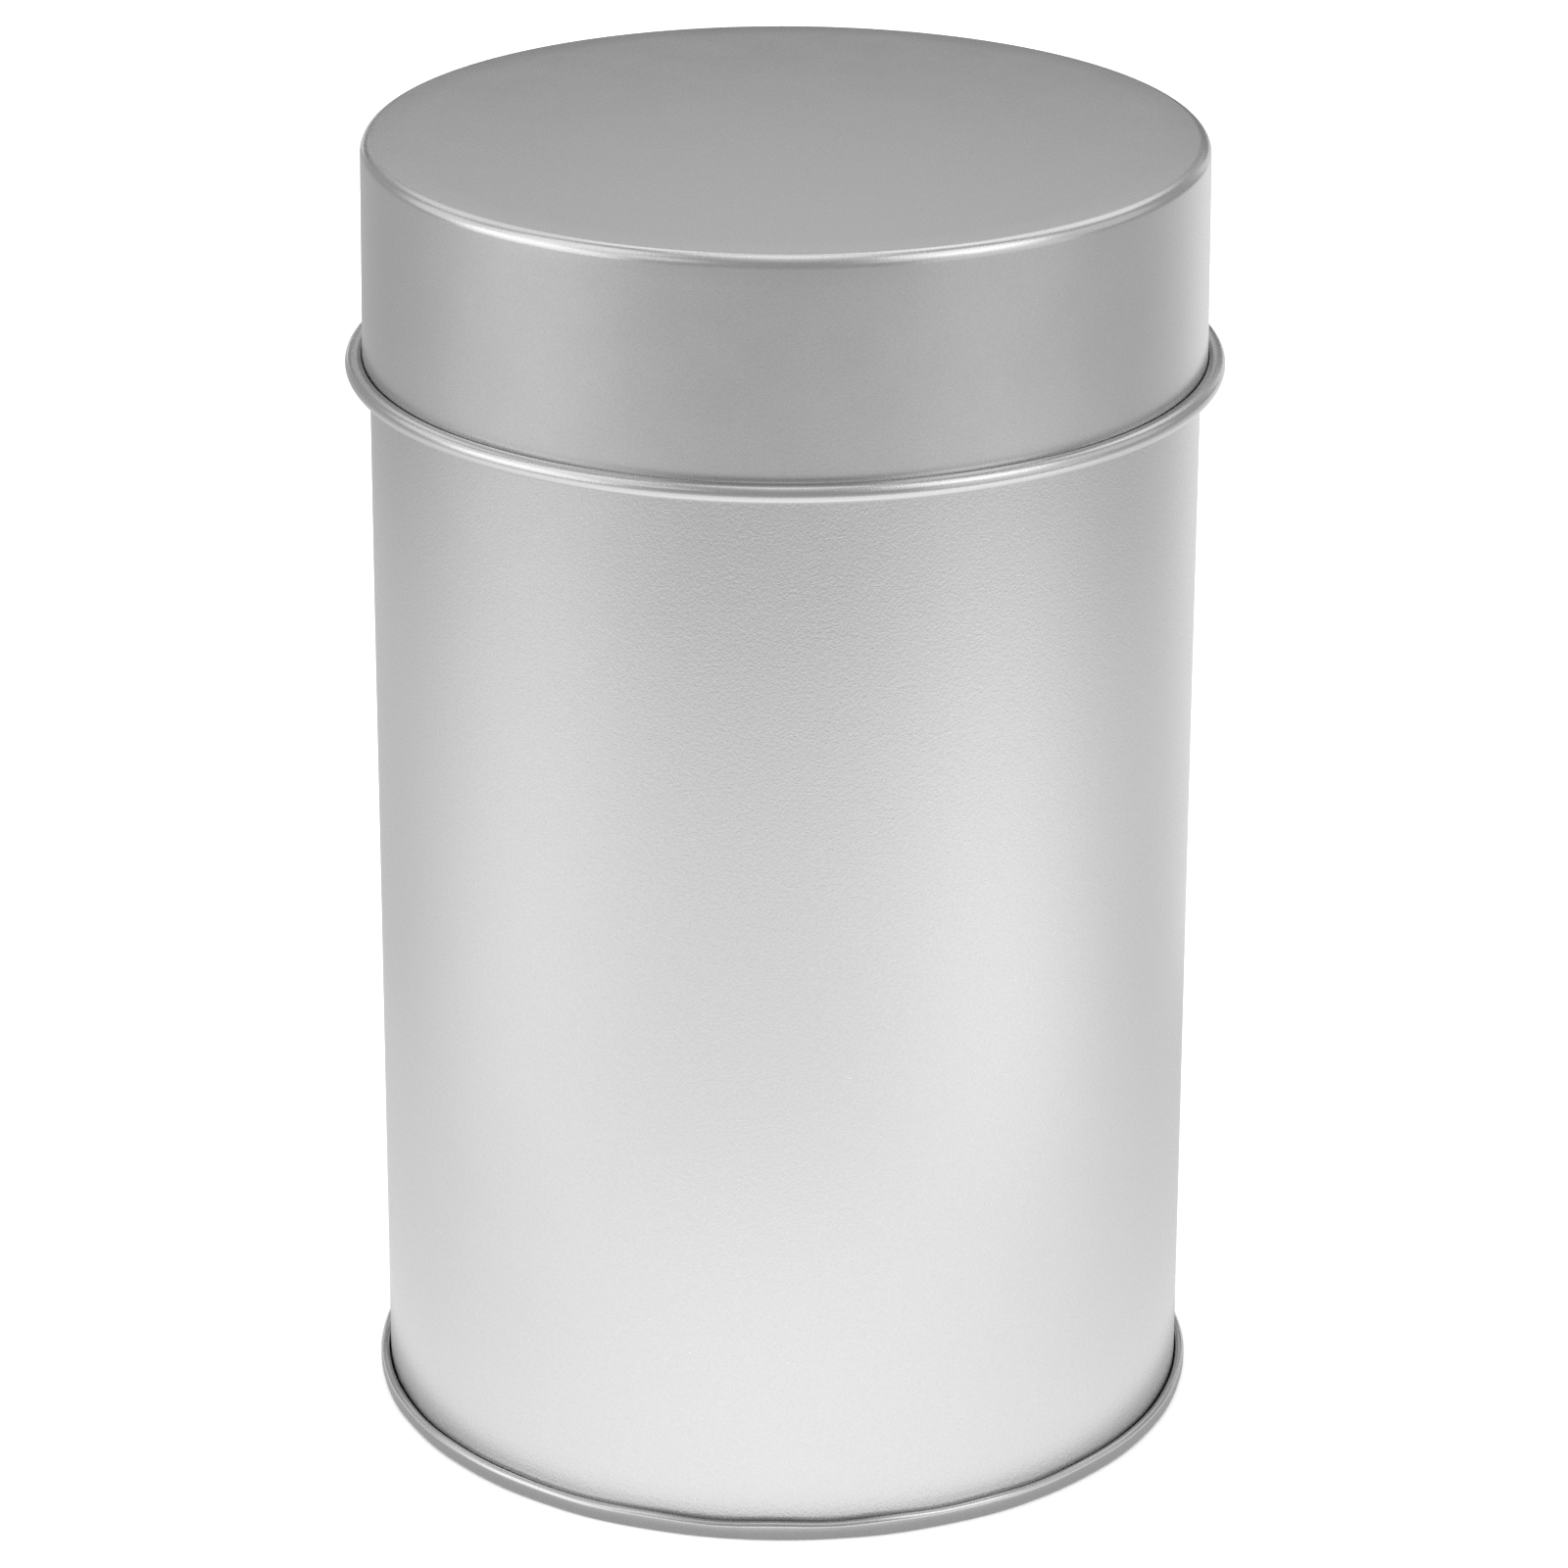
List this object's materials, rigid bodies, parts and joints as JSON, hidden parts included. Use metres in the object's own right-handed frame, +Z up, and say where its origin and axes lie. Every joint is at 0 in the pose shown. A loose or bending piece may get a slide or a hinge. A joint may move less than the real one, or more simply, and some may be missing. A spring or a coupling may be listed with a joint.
{
  "type": "candle tin",
  "caption": "Tall round tinplate candle tin with a lift-off slip lid, rolled lid bead, rolled wall and double-seamed base plate.",
  "frame": {"origin": "centre of the foot, on the plane of the seam's lowest face that the tin stands on", "axes": "+Z up the tin's axis towards the lid, +Y towards the wall's side seam at the back, -Y towards the front"},
  "size_m": [0.0854, 0.0854, 0.13],
  "materials": {
    "tinplate": "satin",
    "sealing_compound": "matte"
  },
  "bodies": {
    "tin": {"body_shell": "tinplate", "base_plate": "tinplate", "seam_compound": "sealing_compound"},
    "lid": {"lid": "tinplate"}
  },
  "joints": [
    {"name": "lid_lift", "type": "slide", "parent": "tin", "child": "lid", "axis": [0, 0, 1], "range_m": [0, 0.06]}
  ]
}
